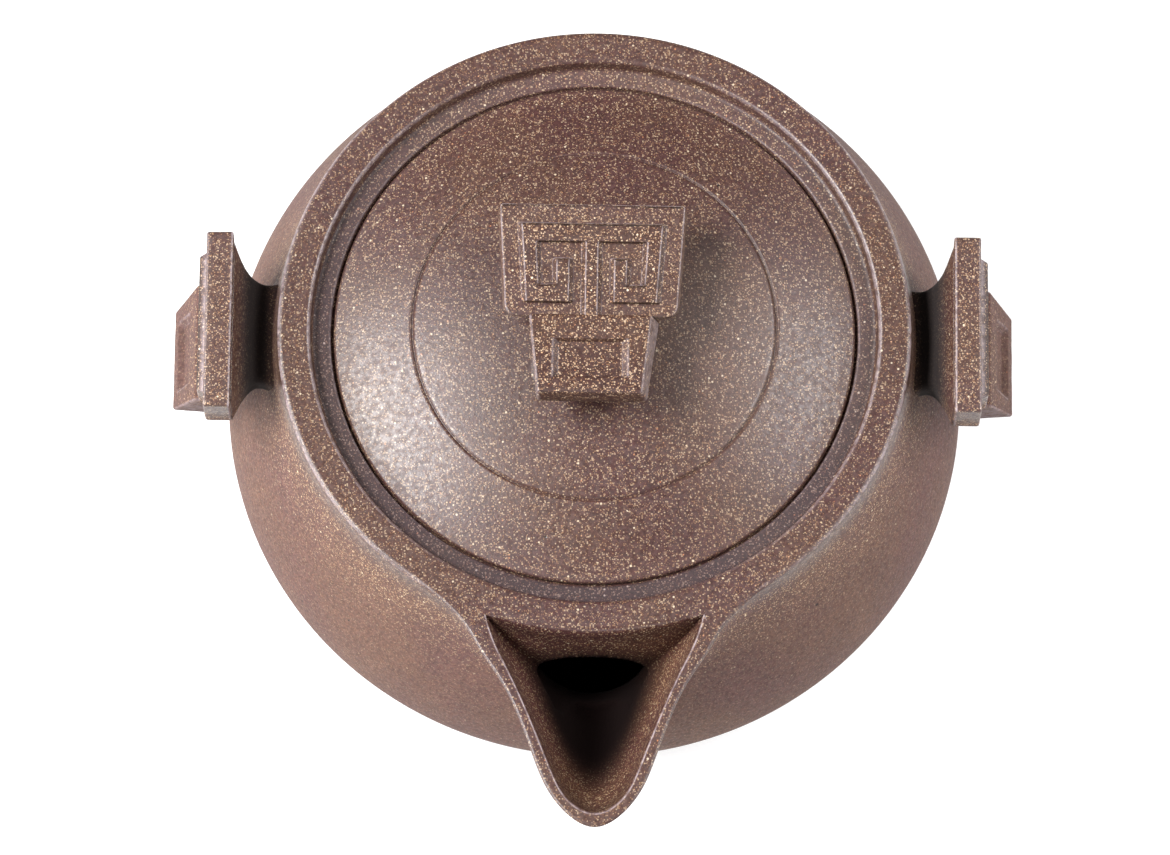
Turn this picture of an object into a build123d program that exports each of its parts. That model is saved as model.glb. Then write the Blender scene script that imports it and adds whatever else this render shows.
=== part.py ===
from build123d import *
import math
import os

# Handleless clay teapot with an inset lid, an open beak spout and three mask ornaments:
# two as side ears and one, lying flat, as the knob of the lid.
# Millimetres. +Z is up, the spout points along -Y and the ears lie on the X axis.
# The origin is the centre of the plane that the foot stands on.

# body
RIM_Z = 42.0            # height of the flat rim
RIM_R = 38.95           # outer edge of the rim
WIDEST_Z = 13.5
WIDEST_R = 46.0
TURN_R = 33.4           # where the lower turn meets the foot
FOOT_H = 2.0
FOOT_INNER_R = 29.4
BASE_R = 31.0
BASE_T = 3.0
WALL_T = 3.0
MOUTH_T = 4.0           # height of the mouth ring
ENVELOPE_R = 80         # wider than the whole pot

# mouth and lid seat
STEP_R = 34.85          # inner edge of the flat rim
COVE_DEPTH = 2.0
SEAT_R = 32.4
SEAT_Z = RIM_Z - 2.9
MOUTH_R = 28.25

# lid
LID_R = 32.05
DOME_R = 89.0
APEX_Z = RIM_Z + 3.87
LID_T = 2.7
FLANGE_R = 27.9
FLANGE_T = 2.0
FLANGE_H = 4.6
RING_R = 22.33          # incised ring
RING_W = 0.6
RING_DEPTH = 0.35

# spout
TIP_Y = 63.3
SPOUT_ROOT_Y = 30.0
LIP_T = 1.75
# shares of the beak's width and of its reach, along one side from the root to the tip
BEAK_LINE = ((0.98, 0.195), (0.80, 0.335), (0.61, 0.495), (0.446, 0.71), (0.344, 0.845), (0.203, 0.945))
CHANNEL_LINE = ((0.88, 0.215), (0.79, 0.336), (0.63, 0.495), (0.443, 0.71), (0.333, 0.845), (0.213, 0.945))
HOLE_W = 14.1
HOLE_Z = 32.8           # level where the hole is widest
HOLE_RISE = 2.7
HOLE_DROP = 7.3
HOLE_START_Y = 25       # the hole is cut from here, inside the pot, outwards
HOLE_CUT = 35

# mask motif, as it is on the knob
MASK_TOP_W = 22.7
MASK_BOTTOM_W = 20.9
PLATE_H = 14.6
PLATE_T = 3.0
SNOUT_TOP_W = 15.0
SNOUT_END_W = 12.8
SNOUT_L = 10.05
SNOUT_T = 3.1
PANEL_DEPTH = 0.9
FRET_H = 0.7

# knob
KNOB_Z = RIM_Z + 10.3   # face of the plate
KNOB_TOP_Y = 12.35      # rear edge of the plate
KNOB_CORNER = 1.8       # radius of the plate's lower corners
KNOB_SNOUT_OUT = 1.5    # how far the snout's end stands out of the plate's face

# ears
EAR_TOP_Z = RIM_Z + 2.6
EAR_FACE_X = 47.5
EAR_PLATE_T = 3.3
EAR_PLATE_H = 9.6
EAR_CORNER = 2.4
EAR_SNOUT_L = 7.2
EAR_SNOUT_OUT = 4.6     # how far the snout's end stands out of the plate's face
EAR_FRET_H = 0.9
EAR_NECK_W = 12.9       # narrowest width of the waisted neck

ON_PLANE = (Align.CENTER, Align.CENTER, Align.MIN)

os.makedirs("parts", exist_ok=True)


def body_section():
    """Half section of the body without its hollow, in the XZ plane."""
    with BuildSketch(Plane.XZ) as section:
        with BuildLine():
            flank = Bezier(
                (RIM_R, RIM_Z),
                (RIM_R + 0.9, RIM_Z - 12),
                (WIDEST_R, WIDEST_Z + 12.5),
                (WIDEST_R, WIDEST_Z),
            )
            turn = Bezier(
                flank @ 1,
                (WIDEST_R, WIDEST_Z - 6.6),
                (TURN_R + 6.4, FOOT_H + 0.5),
                (TURN_R, FOOT_H),
            )
            Polyline(turn @ 1, (0, FOOT_H), (0, RIM_Z), (RIM_R, RIM_Z))
        make_face()
    return section.sketch


# --- body -------------------------------------------------------------------------------

with BuildPart() as pot_wall:
    revolve(body_section(), axis=Axis.Z)
    with BuildSketch(Plane.XZ):
        with BuildLine():
            Line((0, 0), (BASE_R, 0))
            Line((BASE_R, 0), (BASE_R, FOOT_H + BASE_T))
            turn = Bezier(
                (BASE_R, FOOT_H + BASE_T),
                (WIDEST_R - WALL_T - 3.4, FOOT_H + BASE_T + 0.6),
                (WIDEST_R - WALL_T, WIDEST_Z - 4.6),
                (WIDEST_R - WALL_T, WIDEST_Z),
            )
            flank = Bezier(
                turn @ 1,
                (WIDEST_R - WALL_T, WIDEST_Z + 12.5),
                (RIM_R - WALL_T + 0.9, RIM_Z - 12),
                (RIM_R - WALL_T, RIM_Z),
            )
            Polyline(flank @ 1, (0, RIM_Z), (0, 0))
        make_face()
    revolve(axis=Axis.Z, mode=Mode.SUBTRACT)
    with Locations((0, 0, FOOT_H)):
        Cylinder(ENVELOPE_R, RIM_Z - MOUTH_T - FOOT_H, align=ON_PLANE, mode=Mode.INTERSECT)
    with BuildSketch(Plane.XZ.offset(HOLE_START_Y)):
        with BuildLine():
            EllipticalCenterArc((0, HOLE_Z), HOLE_W / 2, HOLE_RISE, start_angle=0, arc_size=180)
            EllipticalCenterArc((0, HOLE_Z), HOLE_W / 2, HOLE_DROP, start_angle=180, arc_size=180)
        make_face()
    extrude(amount=HOLE_CUT, mode=Mode.SUBTRACT)
pot_wall.part.label = "pot_wall"

with BuildPart() as base:
    with Locations((0, 0, FOOT_H)):
        Cylinder(BASE_R, BASE_T, align=ON_PLANE)
    fillet(base.edges().filter_by(GeomType.CIRCLE).sort_by(Axis.Z)[-1], 0.4)
base.part.label = "base"

with BuildPart() as foot_ring:
    with BuildSketch(Plane.XZ):
        with BuildLine():
            Polyline(
                (FOOT_INNER_R + 0.3, FOOT_H),
                (FOOT_INNER_R, 0.5),
                (FOOT_INNER_R + 0.5, 0),
                (TURN_R - 0.9, 0),
                (TURN_R - 0.4, 0.5),
            )
            Line((TURN_R - 0.4, 0.5), (TURN_R, FOOT_H))
            Line((TURN_R, FOOT_H), (FOOT_INNER_R + 0.3, FOOT_H))
        make_face()
    revolve(axis=Axis.Z)
foot_ring.part.label = "foot_ring"

with BuildPart() as mouth_ring:
    revolve(body_section(), axis=Axis.Z)
    with BuildSketch(Plane.XZ):
        with BuildLine():
            Polyline(
                (0, 0),
                (MOUTH_R, 0),
                (MOUTH_R, SEAT_Z),
                (SEAT_R, SEAT_Z),
                (SEAT_R, RIM_Z - COVE_DEPTH),
            )
            cove = ThreePointArc(
                (SEAT_R, RIM_Z - COVE_DEPTH),
                (STEP_R - 0.75, RIM_Z - COVE_DEPTH + 0.62),
                (STEP_R, RIM_Z - 0.25),
            )
            Polyline(cove @ 1, (STEP_R + 0.25, RIM_Z), (STEP_R + 0.25, RIM_Z + 1), (0, RIM_Z + 1), (0, 0))
        make_face()
    revolve(axis=Axis.Z, mode=Mode.SUBTRACT)
    with Locations((0, 0, RIM_Z - MOUTH_T)):
        Cylinder(ENVELOPE_R, MOUTH_T, align=ON_PLANE, mode=Mode.INTERSECT)
mouth_ring.part.label = "mouth_ring"

# --- spout ------------------------------------------------------------------------------


def beak_level(line, z, tip, width, root):
    """One level of the beak or its channel, from the root inside the body to the tip."""
    reach = tip - SPOUT_ROOT_Y
    points = [(width * across, -SPOUT_ROOT_Y - reach * along) for across, along in line]
    with BuildSketch(Plane.XY.offset(z)) as level:
        with BuildLine():
            side = Spline(
                (root, -SPOUT_ROOT_Y),
                *points,
                (0, -tip),
                tangents=((points[0][0] - root, points[0][1] + SPOUT_ROOT_Y), (-1, 0)),
            )
            mirror(side, about=Plane.YZ)
            Line((root, -SPOUT_ROOT_Y), (-root, -SPOUT_ROOT_Y))
        make_face()
    return level.sketch


with BuildPart() as spout:
    loft(
        [
            beak_level(BEAK_LINE, RIM_Z - 23, TIP_Y - 18.4, 7.4, 8.4),
            beak_level(BEAK_LINE, RIM_Z - 17, TIP_Y - 13.2, 10.6, 12.4),
            beak_level(BEAK_LINE, RIM_Z - 11, TIP_Y - 6.6, 13.6, 17.0),
            beak_level(BEAK_LINE, RIM_Z - 5, TIP_Y - 1.9, 16.2, 21.5),
            beak_level(BEAK_LINE, RIM_Z, TIP_Y, 17.3, 24.6),
        ]
    )
    loft(
        [
            beak_level(CHANNEL_LINE, RIM_Z - 17, TIP_Y - 18.6, 5.2, 5.8),
            beak_level(CHANNEL_LINE, RIM_Z - 14, TIP_Y - 14.9, 7.6, 8.6),
            beak_level(CHANNEL_LINE, RIM_Z - 9, TIP_Y - 8.8, 11.0, 12.6),
            beak_level(CHANNEL_LINE, RIM_Z - 4, TIP_Y - 3.9, 13.8, 15.6),
            beak_level(CHANNEL_LINE, RIM_Z + 0.5, TIP_Y - LIP_T, 15.1, 15.8),
        ],
        mode=Mode.SUBTRACT,
    )
    revolve(body_section(), axis=Axis.Z, mode=Mode.SUBTRACT)
spout.part.label = "spout"

# --- mask motif -------------------------------------------------------------------------
# A mask frame has its origin in the middle of the plate's top edge, on the plate's face.
# x runs across the mask, y towards its top edge and z out of the face.


def plate_outline(frame, height, corner):
    """The trapezoid plate, with its lower corners rounded."""
    with BuildSketch(frame) as outline:
        with BuildLine():
            Polyline(
                (-MASK_TOP_W / 2, 0),
                (MASK_TOP_W / 2, 0),
                (MASK_BOTTOM_W / 2, -height),
                (-MASK_BOTTOM_W / 2, -height),
                close=True,
            )
        make_face()
        fillet(outline.vertices().group_by(Axis.Y)[0], corner)
        fillet(outline.vertices().group_by(Axis.Y)[-1], 0.5)
    return outline.sketch


def fret_outline(frame, height):
    """The meander: a top bar, a centre bar and a hook on each side, scaled to the plate."""
    k = height / PLATE_H
    with BuildSketch(frame) as outline:
        with Locations((0, -3.72 * k)):
            Rectangle(16.6, 2.3 * k)
        with Locations((0, -9.27 * k)):
            Rectangle(1.9, 10.8 * k)
        with BuildLine():
            Polyline((8.8, -2.57 * k), (6.7, -2.57 * k), (6.2, -12.67 * k), (8.1, -12.67 * k), close=True)
        make_face()
        with Locations((5.0, -11.57 * k)):
            Rectangle(5.0, 2.2 * k)
        with Locations((3.5, -9.87 * k)):
            Rectangle(1.9, 5.6 * k)
        mirror(about=Plane.YZ)
    return outline.sketch


def snout_level(frame, drop, width, back, front):
    """A cross-section of the snout, square to the length of the mask."""
    level = Plane(frame.from_local_coords((0, -drop, 0)), x_dir=frame.x_dir, z_dir=frame.y_dir)
    with BuildSketch(level) as section:
        with Locations((0, -(back + front) / 2)):
            Rectangle(width, front - back)
        fillet(section.vertices(), 0.35)
    return section.sketch


def snout_panel(frame, drop, length, rise, front):
    """The sunk rectangle, drawn on the snout's sloping face."""
    face = Plane(
        frame.from_local_coords((0, -drop, front)),
        x_dir=frame.x_dir,
        z_dir=frame.z_dir * length + frame.y_dir * rise,
    )
    with BuildSketch(face) as panel:
        with Locations((0, -length * 0.56)):
            Rectangle(8.6, length * 0.48)
    return panel.sketch


def neck_level(frame, behind, width, low, high):
    """A cross-section of the neck behind the plate, from `low` to `high` below its top edge."""
    level = Plane(frame.from_local_coords((0, 0, -behind)), x_dir=frame.x_dir, z_dir=frame.z_dir)
    with BuildSketch(level) as section:
        with Locations((0, -(low + high) / 2)):
            RectangleRounded(width, low - high, 1.6)
    return section.sketch


# --- ears -------------------------------------------------------------------------------

EAR_LEFT = Plane((-EAR_FACE_X, 0, EAR_TOP_Z), x_dir=(0, -1, 0), z_dir=(-1, 0, 0))
EAR_RIGHT = Plane((EAR_FACE_X, 0, EAR_TOP_Z), x_dir=(0, 1, 0), z_dir=(1, 0, 0))


def ear_neck(frame):
    """Levels of the waisted neck, from the plate in to the wall."""
    return [
        neck_level(frame, EAR_PLATE_T, 21.2, 8.9, 0.6),
        neck_level(frame, EAR_PLATE_T + 0.9, 17.4, 9.4, 3.2),
        neck_level(frame, EAR_PLATE_T + 2.0, 14.2, 10.2, 5.4),
        neck_level(frame, EAR_PLATE_T + 3.2, EAR_NECK_W, 11.0, 6.9),
        neck_level(frame, EAR_PLATE_T + 5.6, EAR_NECK_W + 1.1, 12.8, 8.0),
    ]


def ear_snout(frame):
    """Levels of the snout, which slopes outwards under the plate."""
    return [
        snout_level(frame, EAR_PLATE_H - 1.0, SNOUT_TOP_W, -2.2, EAR_FRET_H + 0.4),
        snout_level(frame, EAR_PLATE_H + EAR_SNOUT_L, SNOUT_END_W, -0.2, EAR_SNOUT_OUT),
    ]


def ear_panel(frame):
    """The sunk panel of an ear's snout."""
    rise = EAR_SNOUT_OUT - EAR_FRET_H - 0.4
    return snout_panel(frame, EAR_PLATE_H - 1.0, EAR_SNOUT_L + 1.0, rise, EAR_FRET_H + 0.4)


with BuildPart() as ear_left_bracket:
    loft(ear_neck(EAR_LEFT))
    revolve(body_section(), axis=Axis.Z, mode=Mode.SUBTRACT)
ear_left_bracket.part.label = "ear_left_bracket"

with BuildPart() as ear_left_plate:
    extrude(plate_outline(EAR_LEFT, EAR_PLATE_H, EAR_CORNER), amount=-EAR_PLATE_T)
ear_left_plate.part.label = "ear_left_plate"

with BuildPart() as ear_left_snout:
    loft(ear_snout(EAR_LEFT), ruled=True)
    extrude(ear_panel(EAR_LEFT), amount=-PANEL_DEPTH, mode=Mode.SUBTRACT)
    extrude(plate_outline(EAR_LEFT, EAR_PLATE_H, EAR_CORNER), amount=-EAR_PLATE_T, mode=Mode.SUBTRACT)
    loft(ear_neck(EAR_LEFT), mode=Mode.SUBTRACT)
ear_left_snout.part.label = "ear_left_snout"

with BuildPart() as ear_left_fret:
    extrude(fret_outline(EAR_LEFT, EAR_PLATE_H), amount=EAR_FRET_H)
    loft(ear_snout(EAR_LEFT), ruled=True, mode=Mode.SUBTRACT)
ear_left_fret.part.label = "ear_left_fret"

with BuildPart() as ear_right_bracket:
    loft(ear_neck(EAR_RIGHT))
    revolve(body_section(), axis=Axis.Z, mode=Mode.SUBTRACT)
ear_right_bracket.part.label = "ear_right_bracket"

with BuildPart() as ear_right_plate:
    extrude(plate_outline(EAR_RIGHT, EAR_PLATE_H, EAR_CORNER), amount=-EAR_PLATE_T)
ear_right_plate.part.label = "ear_right_plate"

with BuildPart() as ear_right_snout:
    loft(ear_snout(EAR_RIGHT), ruled=True)
    extrude(ear_panel(EAR_RIGHT), amount=-PANEL_DEPTH, mode=Mode.SUBTRACT)
    extrude(plate_outline(EAR_RIGHT, EAR_PLATE_H, EAR_CORNER), amount=-EAR_PLATE_T, mode=Mode.SUBTRACT)
    loft(ear_neck(EAR_RIGHT), mode=Mode.SUBTRACT)
ear_right_snout.part.label = "ear_right_snout"

with BuildPart() as ear_right_fret:
    extrude(fret_outline(EAR_RIGHT, EAR_PLATE_H), amount=EAR_FRET_H)
    loft(ear_snout(EAR_RIGHT), ruled=True, mode=Mode.SUBTRACT)
ear_right_fret.part.label = "ear_right_fret"

# --- lid --------------------------------------------------------------------------------


def dome_height(r, apex=APEX_Z, radius=DOME_R):
    """Height of a spherical dome at a distance from the axis."""
    return apex - radius + math.sqrt(radius**2 - r**2)


with BuildPart() as lid_cap:
    with BuildSketch(Plane.XZ):
        with BuildLine():
            inner_r = RING_R - RING_W / 2
            outer_r = RING_R + RING_W / 2
            edge_r = LID_R - 0.3
            hollow_r = FLANGE_R - FLANGE_T
            hollow_apex = APEX_Z - LID_T
            rise = hollow_apex - SEAT_Z
            hollow_dome_r = (hollow_r**2 + rise**2) / (2 * rise)
            ThreePointArc((0, APEX_Z), (12, dome_height(12)), (inner_r, dome_height(inner_r)))
            Polyline(
                (inner_r, dome_height(inner_r)),
                (inner_r + 0.12, dome_height(RING_R) - RING_DEPTH),
                (outer_r - 0.12, dome_height(RING_R) - RING_DEPTH),
                (outer_r, dome_height(outer_r)),
            )
            ThreePointArc(
                (outer_r, dome_height(outer_r)),
                (27, dome_height(27)),
                (edge_r, dome_height(edge_r)),
            )
            Polyline(
                (edge_r, dome_height(edge_r)),
                (LID_R, dome_height(LID_R) - 0.2),
                (LID_R, SEAT_Z),
                (hollow_r, SEAT_Z),
            )
            ThreePointArc(
                (hollow_r, SEAT_Z),
                (14, dome_height(14, hollow_apex, hollow_dome_r)),
                (0, hollow_apex),
            )
            Line((0, hollow_apex), (0, APEX_Z))
        make_face()
    revolve(axis=Axis.Z)
lid_cap.part.label = "lid_cap"

with BuildPart() as lid_flange:
    with Locations((0, 0, SEAT_Z - FLANGE_H)):
        Cylinder(FLANGE_R, FLANGE_H, align=ON_PLANE)
        Cylinder(FLANGE_R - FLANGE_T, FLANGE_H, align=ON_PLANE, mode=Mode.SUBTRACT)
    fillet(lid_flange.edges().filter_by(GeomType.CIRCLE).group_by(Axis.Z)[0], 0.6)
lid_flange.part.label = "lid_flange"

# --- knob -------------------------------------------------------------------------------

KNOB = Plane((0, KNOB_TOP_Y, KNOB_Z), x_dir=(1, 0, 0), z_dir=(0, 0, 1))


def knob_snout_levels():
    """Levels of the knob's snout, which rises a little towards its end."""
    return [
        snout_level(KNOB, PLATE_H - 0.6, SNOUT_TOP_W, -PLATE_T + 0.3, FRET_H),
        snout_level(KNOB, PLATE_H + SNOUT_L, SNOUT_END_W, KNOB_SNOUT_OUT - SNOUT_T, KNOB_SNOUT_OUT),
    ]


def knob_neck():
    """Levels of the waisted stem, from under the plate down into the lid."""
    middle = KNOB_TOP_Y
    return [
        neck_level(KNOB, PLATE_T, 14.4, middle + 8.6, middle - 10.0),
        neck_level(KNOB, PLATE_T + 0.8, 12.4, middle + 7.0, middle - 8.0),
        neck_level(KNOB, PLATE_T + 1.9, 11.0, middle + 5.8, middle - 6.4),
        neck_level(KNOB, PLATE_T + 5.4, 11.0, middle + 5.8, middle - 6.0),
    ]


with BuildPart() as knob_stem:
    loft(knob_neck())
    with BuildSketch(Plane.XZ):
        with BuildLine():
            top = ThreePointArc((0, APEX_Z), (RING_R, dome_height(RING_R)), (LID_R, dome_height(LID_R)))
            Polyline(top @ 1, (LID_R, SEAT_Z), (0, SEAT_Z), (0, APEX_Z))
        make_face()
    revolve(axis=Axis.Z, mode=Mode.SUBTRACT)
knob_stem.part.label = "knob_stem"

with BuildPart() as knob_plate:
    extrude(plate_outline(KNOB, PLATE_H, KNOB_CORNER), amount=-PLATE_T)
knob_plate.part.label = "knob_plate"

with BuildPart() as knob_snout:
    loft(knob_snout_levels(), ruled=True)
    panel = snout_panel(KNOB, PLATE_H - 0.6, SNOUT_L + 0.6, KNOB_SNOUT_OUT - FRET_H, FRET_H)
    extrude(panel, amount=-PANEL_DEPTH, mode=Mode.SUBTRACT)
    extrude(plate_outline(KNOB, PLATE_H, KNOB_CORNER), amount=-PLATE_T, mode=Mode.SUBTRACT)
    loft(knob_neck(), mode=Mode.SUBTRACT)
knob_snout.part.label = "knob_snout"

with BuildPart() as knob_fret:
    extrude(fret_outline(KNOB, PLATE_H), amount=FRET_H)
    loft(knob_snout_levels(), ruled=True, mode=Mode.SUBTRACT)
knob_fret.part.label = "knob_fret"

PIECES = (
    pot_wall,
    base,
    foot_ring,
    mouth_ring,
    spout,
    ear_left_bracket,
    ear_left_plate,
    ear_left_snout,
    ear_left_fret,
    ear_right_bracket,
    ear_right_plate,
    ear_right_snout,
    ear_right_fret,
    lid_cap,
    lid_flange,
    knob_stem,
    knob_plate,
    knob_snout,
    knob_fret,
)

for piece in PIECES:
    export_step(piece.part, "parts/" + piece.part.label + ".step")
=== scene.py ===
import math

import bmesh
import bpy
import mathutils
import numpy as np
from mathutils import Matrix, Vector


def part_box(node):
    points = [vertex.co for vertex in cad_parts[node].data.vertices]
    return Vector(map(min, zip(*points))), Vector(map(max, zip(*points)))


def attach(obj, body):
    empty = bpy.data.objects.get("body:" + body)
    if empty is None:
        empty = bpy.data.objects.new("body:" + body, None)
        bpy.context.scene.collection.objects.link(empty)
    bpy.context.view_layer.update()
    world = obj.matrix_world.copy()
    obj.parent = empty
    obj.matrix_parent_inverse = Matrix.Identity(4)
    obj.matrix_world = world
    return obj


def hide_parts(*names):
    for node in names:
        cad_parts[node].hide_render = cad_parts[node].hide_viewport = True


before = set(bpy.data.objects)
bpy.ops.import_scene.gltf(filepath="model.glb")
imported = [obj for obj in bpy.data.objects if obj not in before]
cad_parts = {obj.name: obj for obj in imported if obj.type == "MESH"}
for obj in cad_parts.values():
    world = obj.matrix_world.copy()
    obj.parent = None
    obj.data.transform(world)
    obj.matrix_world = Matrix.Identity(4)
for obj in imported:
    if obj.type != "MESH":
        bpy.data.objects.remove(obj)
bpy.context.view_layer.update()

MM = 0.001
NOISE_SEED = 1  # never 0, which takes the seed from the clock
mathutils.noise.seed_set(NOISE_SEED)

# --- dimensions in millimetres, as in the CAD ------------------------------------------------------

RIM_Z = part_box("mouth_ring")[1].z / MM
SEAT_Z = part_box("lid_cap")[0].z / MM
KNOB_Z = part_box("knob_plate")[1].z / MM
KNOB_TOP_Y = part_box("knob_plate")[1].y / MM
EAR_TOP_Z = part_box("ear_right_plate")[1].z / MM
EAR_FACE_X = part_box("ear_right_plate")[1].x / MM
WIDEST_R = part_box("pot_wall")[1].x / MM
TIP_R = -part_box("spout")[0].y / MM
FOOT_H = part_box("foot_ring")[1].z / MM
LID_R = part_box("lid_cap")[1].x / MM
FLANGE_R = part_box("lid_flange")[1].x / MM
FLANGE_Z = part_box("lid_flange")[0].z / MM

RIM_R = 38.95  # outer edge of the flat rim
WIDEST_Z = 13.5
TURN_R = 33.4  # where the lower turn meets the foot
BASE_T = 3.0
RIM_UNDER_Z = 38.0  # underside of the mouth ring
SEAT_R = 32.4
APEX_Z = RIM_Z + 3.87
DOME_R = 89.0
LID_T = 2.7
FLANGE_T = 2.0
RING_R = 22.33  # incised ring of the lid
PLATE_TOP_HALF, PLATE_BOTTOM_HALF = 11.35, 10.45
PLATE_H = 14.6
PLATE_T = 3.0
EAR_PLATE_H = 9.6
EAR_PLATE_T = 3.3


# --- small helpers ---------------------------------------------------------------------------------


def bezier(points, n):
    """n points along a cubic Bezier curve, ends included."""
    t = np.linspace(0, 1, n)[:, None]
    a, b, c, d = (np.array(p, float) for p in points)
    return (1 - t) ** 3 * a + 3 * (1 - t) ** 2 * t * b + 3 * (1 - t) * t**2 * c + t**3 * d


def spline(xs, ys, x):
    """Smooth curve through the points (xs, ys), level at both ends."""
    xs, ys = np.array(xs, float), np.array(ys, float)
    n = len(xs)
    h = np.diff(xs)
    m = np.zeros((n, n))
    rhs = np.zeros(n)
    m[0, 0] = m[-1, -1] = 1.0
    for i in range(1, n - 1):
        m[i, i - 1], m[i, i], m[i, i + 1] = h[i - 1], 2 * (h[i - 1] + h[i]), h[i]
        rhs[i] = 6 * ((ys[i + 1] - ys[i]) / h[i] - (ys[i] - ys[i - 1]) / h[i - 1])
    k = np.linalg.solve(m, rhs)
    i = np.clip(np.searchsorted(xs, x) - 1, 0, n - 2)
    a, b = (xs[i + 1] - x) / h[i], (x - xs[i]) / h[i]
    curve = a * ys[i] + b * ys[i + 1]
    return curve + ((a**3 - a) * k[i] + (b**3 - b) * k[i + 1]) * h[i] ** 2 / 6


def smooth_max(a, b, k):
    """The larger of a and b, with a fillet of about k where they cross."""
    d = np.clip(0.5 + 0.5 * (a - b) / k, 0, 1)
    return b + (a - b) * d + k * d * (1 - d)


def smoothstep(x):
    x = np.clip(x, 0, 1)
    return x * x * (3 - 2 * x)


def arc(cx, cz, r, start, end, n):
    """Points of an arc in the RZ plane, angles in degrees."""
    a = np.radians(np.linspace(start, end, n))
    return [(cx + r * math.cos(t), cz + r * math.sin(t)) for t in a]


def new_object(name, bm, material, body, nodes):
    """Turns a bmesh in millimetres into a finished piece."""
    for v in bm.verts:
        v.co *= MM
    bmesh.ops.remove_doubles(bm, verts=bm.verts, dist=2e-7)
    bmesh.ops.recalc_face_normals(bm, faces=bm.faces)
    mesh = bpy.data.meshes.new(name)
    bm.to_mesh(mesh)
    bm.free()
    mesh.polygons.foreach_set("use_smooth", [True] * len(mesh.polygons))
    mesh.materials.append(material)
    obj = bpy.data.objects.new(name, mesh)
    bpy.context.scene.collection.objects.link(obj)
    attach(obj, body)
    if nodes:
        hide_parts(*nodes)
    return obj


def skin(bm, loops, edge_lighting=None):
    """Joins closed loops of equally many points with quads, and caps the ends. The optional last
    argument holds, for each point of each loop, its painted highlight (above zero) or painted shade
    (below zero)."""
    layer = bm.verts.layers.float.new("edge_lighting")
    rows = [[bm.verts.new(p) for p in loop] for loop in loops]
    n = len(rows[0])
    for a, b in zip(rows, rows[1:]):
        for i in range(n):
            bm.faces.new((a[i], a[(i + 1) % n], b[(i + 1) % n], b[i]))
    bm.faces.new(rows[0])
    bm.faces.new(rows[-1])
    for row, weights in zip(rows, edge_lighting or ()):
        for v, w in zip(row, weights):
            v[layer] = w


def revolve(bm, profile, columns):
    """Turns an (r, z) profile round Z; points with r = 0 become one vertex."""
    angles = np.linspace(0, 2 * math.pi, columns, endpoint=False)
    rows = []
    for r, z in profile:
        if r < 1e-6:
            rows.append([bm.verts.new((0, 0, z))] * columns)
        else:
            rows.append([bm.verts.new((r * math.sin(a), -r * math.cos(a), z)) for a in angles])
    for a, b in zip(rows, rows[1:]):
        for i in range(columns):
            j = (i + 1) % columns
            corners = list(dict.fromkeys((a[i], a[j], b[j], b[i])))
            if len(corners) > 2:
                bm.faces.new(corners)


# --- pot: wall, rim, seat, spout and foot as one skin ----------------------------------------------

WIDEST = (WIDEST_R, WIDEST_Z)
FLANK = bezier([(RIM_R, RIM_Z), (RIM_R + 0.9, RIM_Z - 12), (WIDEST_R, WIDEST_Z + 12.5), WIDEST], 60)
TURN = bezier([WIDEST, (WIDEST_R, WIDEST_Z - 6.6), (TURN_R + 6.4, FOOT_H + 0.5), (TURN_R, FOOT_H)], 22)
SPOUT_ROOT_Y = 30.0
# share of the width and of the reach from the root to the tip, along one side of the beak
OUTER_LINE = ((0.98, 0.195), (0.80, 0.335), (0.61, 0.495), (0.446, 0.71))
OUTER_LINE += ((0.344, 0.845), (0.203, 0.945), (0, 1))
INNER_LINE = ((0.88, 0.215), (0.79, 0.336), (0.63, 0.495), (0.443, 0.71))
INNER_LINE += ((0.333, 0.845), (0.213, 0.945), (0, 1))


def wall_radius(z):
    return np.interp(z, FLANK[::-1, 1], FLANK[::-1, 0])


def beak_radius(angle, z, levels, line):
    """Polar radius of the beak's outline at a height, for angles away from the spout's middle."""
    heights, tips, widths, roots = levels
    tip, width, root = (spline(heights, v, z) for v in (tips, widths, roots))
    side = [(root, 0.0)] + [(share * width, reach) for share, reach in line]
    whole = side + [(-x, y) for x, y in side[-2::-1]]
    n = len(whole)
    at = np.linspace(0, (n - 1) / 2, 200)
    x = spline(np.arange(n), [p[0] for p in whole], at)
    y = SPOUT_ROOT_Y + spline(np.arange(n), [p[1] for p in whole], at) * (tip - SPOUT_ROOT_Y)
    polar = np.degrees(np.arctan2(x, y))
    return np.interp(np.abs(angle), polar[::-1], np.hypot(x, y)[::-1])


# heights, and at each the tip's reach, half the width and the radius at the root
OUTER_LEVELS = (
    [RIM_Z - 23, RIM_Z - 17, RIM_Z - 11, RIM_Z - 5, RIM_Z],
    [TIP_R - 18.4, TIP_R - 13.2, TIP_R - 6.6, TIP_R - 1.9, TIP_R],
    [7.4, 10.6, 13.6, 16.2, 17.3],
    [8.4, 12.4, 17.0, 21.5, 24.6],
)
INNER_LEVELS = (
    [RIM_Z - 16.6, RIM_Z - 14.2, RIM_Z - 9, RIM_Z - 4, RIM_Z],
    [TIP_R - 18.4, TIP_R - 15.2, TIP_R - 8.8, TIP_R - 3.9, TIP_R - 1.75],
    [5.4, 7.4, 11.0, 13.8, 15.0],
    [6.0, 8.4, 12.6, 15.6, 15.8],
)
FLOOR_Z = RIM_Z - 16.6  # bottom of the channel
BEAK_ANGLE = 36  # where the beak has blended into the round rim, in degrees from the spout


def corner_angle():
    """Angle at which the channel's edge meets the rim's outer edge."""
    a = np.linspace(10, 30, 801)
    return a[np.argmin(np.abs(beak_radius(a, RIM_Z, INNER_LEVELS, INNER_LINE) - RIM_R))]


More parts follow.
